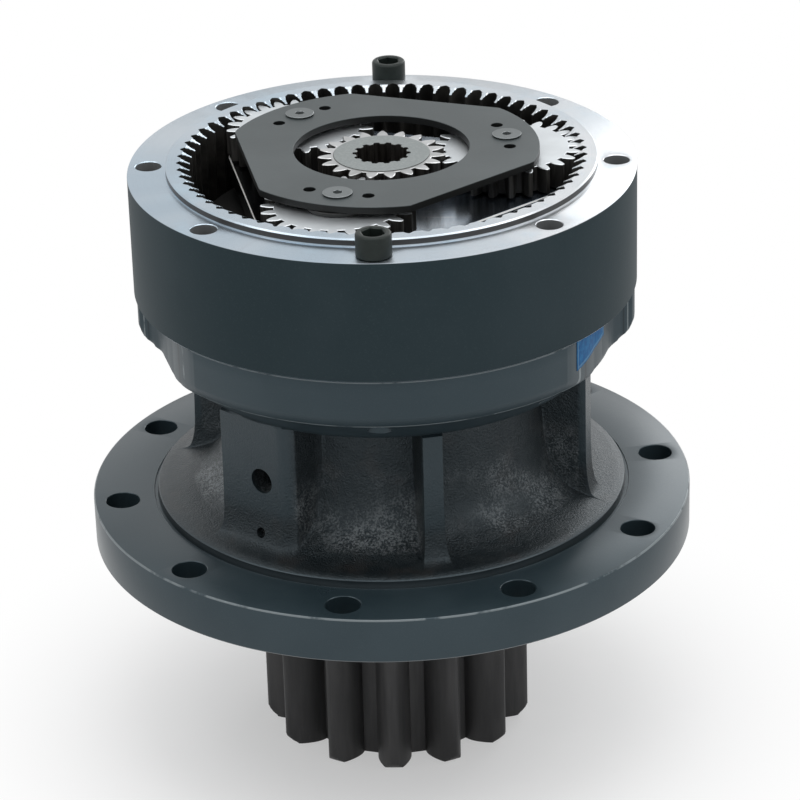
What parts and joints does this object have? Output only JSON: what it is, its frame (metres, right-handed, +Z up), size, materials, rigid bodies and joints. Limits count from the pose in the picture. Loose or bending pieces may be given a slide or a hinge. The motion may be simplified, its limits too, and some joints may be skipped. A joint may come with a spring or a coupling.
{
  "type": "planetary swing gearbox",
  "caption": "Two-stage planetary swing gearbox with a flanged ribbed casing, an open upper gear stage, a bolted ring gear and an output pinion below.",
  "frame": {"origin": "on the common axis at the pinion's lower end face, the lowest point of the part", "axes": "+Z up along the common axis from the pinion to the motor face; -Y to the front as pictured, +X to the right"},
  "size_m": [0.4256, 0.4256, 0.4453],
  "materials": {
    "painted_iron": "dark slate paint over a rough casting",
    "machined_ring": "machined, oiled",
    "phosphated": "grey phosphate",
    "ground_steel": "ground",
    "matt_steel": "matt, turned",
    "carrier_steel": "milled, oiled",
    "black_steel": "hardened, blackened",
    "black_oxide": "black oxide",
    "bearing_steel": "polished",
    "bronze": "turned",
    "rubber": "matt"
  },
  "bodies": {
    "housing": {"casing": "painted_iron", "ring_gear": "machined_ring", "ring_screw_front": "black_oxide", "ring_screw_rear": "black_oxide", "dowel_rear": "bearing_steel", "dowel_front": "bearing_steel", "oil_seal": "rubber", "bearing_circlip": "bearing_steel", "lower_bearing_outer": "bearing_steel", "upper_bearing_outer": "bearing_steel"},
    "output": {"drive_shaft": "black_steel", "lower_bearing_inner": "bearing_steel", "upper_bearing_inner": "bearing_steel", "bearing_spacer": "phosphated", "shaft_circlip": "bearing_steel", "carrier_2": "carrier_steel", "retainer_plate_2": "phosphated", "plate_screw_2_1": "black_oxide", "plate_screw_2_2": "black_oxide", "plate_screw_2_3": "black_oxide", "planet_pin_2_1": "bearing_steel", "planet_pin_2_2": "bearing_steel", "planet_pin_2_3": "bearing_steel"},
    "lower_cage": {"lower_bearing_rollers": "bearing_steel"},
    "upper_cage": {"upper_bearing_rollers": "bearing_steel"},
    "planet_2_1": {"planet_gear_2_1": "ground_steel", "planet_bush_2_1": "bronze"},
    "planet_2_2": {"planet_gear_2_2": "ground_steel", "planet_bush_2_2": "bronze"},
    "planet_2_3": {"planet_gear_2_3": "ground_steel", "planet_bush_2_3": "bronze"},
    "carrier_1": {"carrier_1": "carrier_steel", "sun_gear_2": "matt_steel", "retainer_plate_1": "phosphated", "plate_screw_1_1": "phosphated", "plate_screw_1_2": "phosphated", "plate_screw_1_3": "phosphated", "planet_pin_1_1": "bearing_steel", "planet_pin_1_2": "bearing_steel", "planet_pin_1_3": "bearing_steel", "thrust_washer_1_1": "bearing_steel", "thrust_washer_1_2": "bearing_steel", "thrust_washer_1_3": "bearing_steel"},
    "planet_1_1": {"planet_gear_1_1": "ground_steel", "planet_bush_1_1": "bronze"},
    "planet_1_2": {"planet_gear_1_2": "ground_steel", "planet_bush_1_2": "bronze"},
    "planet_1_3": {"planet_gear_1_3": "ground_steel", "planet_bush_1_3": "bronze"},
    "sun_1": {"sun_gear_1": "matt_steel"}
  },
  "joints": [
    {"name": "output_spin", "type": "hinge", "parent": "housing", "child": "output", "pos_m": [0, 0, 0.1], "axis": [0, 0, 1], "continuous": true},
    {"name": "lower_cage_spin", "type": "hinge", "parent": "housing", "child": "lower_cage", "pos_m": [0, 0, 0.203], "axis": [0, 0, 1], "continuous": true},
    {"name": "upper_cage_spin", "type": "hinge", "parent": "housing", "child": "upper_cage", "pos_m": [0, 0, 0.293], "axis": [0, 0, 1], "continuous": true},
    {"name": "planet_2_1_spin", "type": "hinge", "parent": "output", "child": "planet_2_1", "pos_m": [0.08787, 0.01948, 0.36165], "axis": [0, 0, 1], "continuous": true},
    {"name": "planet_2_2_spin", "type": "hinge", "parent": "output", "child": "planet_2_2", "pos_m": [-0.0608, 0.06635, 0.36165], "axis": [0, 0, 1], "continuous": true},
    {"name": "planet_2_3_spin", "type": "hinge", "parent": "output", "child": "planet_2_3", "pos_m": [-0.02706, -0.08583, 0.36165], "axis": [0, 0, 1], "continuous": true},
    {"name": "carrier_1_spin", "type": "hinge", "parent": "housing", "child": "carrier_1", "pos_m": [0, 0, 0.4055], "axis": [0, 0, 1], "continuous": true},
    {"name": "planet_1_1_spin", "type": "hinge", "parent": "carrier_1", "child": "planet_1_1", "pos_m": [0.08591, 0.01905, 0.4235], "axis": [0, 0, 1], "continuous": true},
    {"name": "planet_1_2_spin", "type": "hinge", "parent": "carrier_1", "child": "planet_1_2", "pos_m": [-0.05945, 0.06488, 0.4235], "axis": [0, 0, 1], "continuous": true},
    {"name": "planet_1_3_spin", "type": "hinge", "parent": "carrier_1", "child": "planet_1_3", "pos_m": [-0.02646, -0.08393, 0.4235], "axis": [0, 0, 1], "continuous": true},
    {"name": "sun_1_spin", "type": "hinge", "parent": "housing", "child": "sun_1", "pos_m": [0, 0, 0.424], "axis": [0, 0, 1], "continuous": true}
  ],
  "couplings": [
    {"joint": "lower_cage_spin", "follows": "output_spin", "ratio": 0.44062},
    {"joint": "upper_cage_spin", "follows": "output_spin", "ratio": 0.43214},
    {"joint": "planet_2_1_spin", "follows": "output_spin", "ratio": -2.9565},
    {"joint": "planet_2_2_spin", "follows": "output_spin", "ratio": -2.9565},
    {"joint": "planet_2_3_spin", "follows": "output_spin", "ratio": -2.9565},
    {"joint": "carrier_1_spin", "follows": "output_spin", "ratio": 4.0909},
    {"joint": "planet_1_1_spin", "follows": "output_spin", "ratio": -11.591},
    {"joint": "planet_1_2_spin", "follows": "output_spin", "ratio": -11.591},
    {"joint": "planet_1_3_spin", "follows": "output_spin", "ratio": -11.591},
    {"joint": "sun_1_spin", "follows": "output_spin", "ratio": 18.732}
  ]
}
